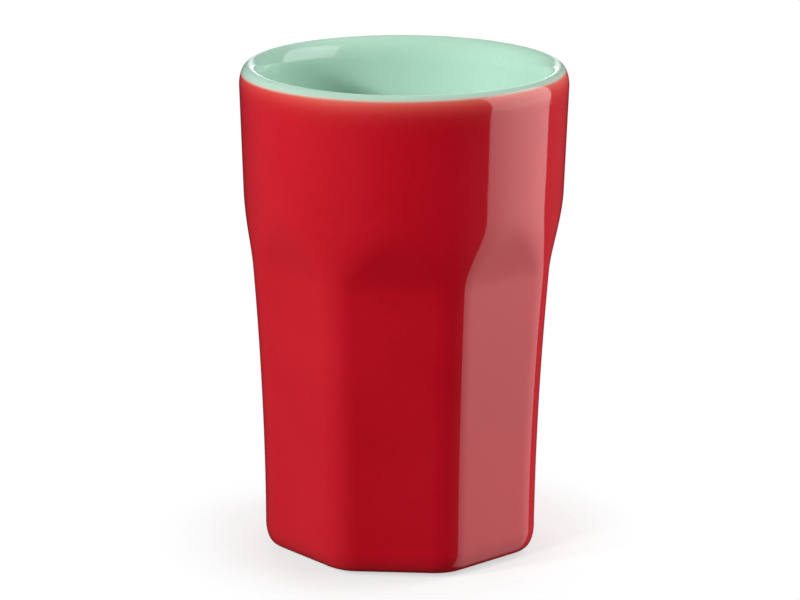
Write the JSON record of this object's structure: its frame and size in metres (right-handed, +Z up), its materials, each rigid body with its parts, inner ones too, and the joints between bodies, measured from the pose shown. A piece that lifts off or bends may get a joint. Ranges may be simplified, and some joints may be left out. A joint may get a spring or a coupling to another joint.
{
  "type": "porcelain beaker",
  "caption": "Tall porcelain beaker with a round rim, a swelling shoulder and a faceted lower wall, glazed in one colour outside and another inside, for drinks.",
  "frame": {"origin": "centre of the foot ring's flat face, on the surface that the beaker stands on", "axes": "+Z up the beaker's axis towards the rim, +X and +Y each square to one of the flats"},
  "size_m": [0.08, 0.08, 0.12],
  "materials": {
    "bare_porcelain": "unglazed, fine grained, matt",
    "red_glaze": "glossy red glaze",
    "mint_glaze": "glossy mint green glaze"
  },
  "bodies": {
    "root": {"porcelain_body": "bare_porcelain", "outer_glaze": "red_glaze", "inner_glaze": "mint_glaze", "base_glaze": "red_glaze"}
  },
  "joints": []
}
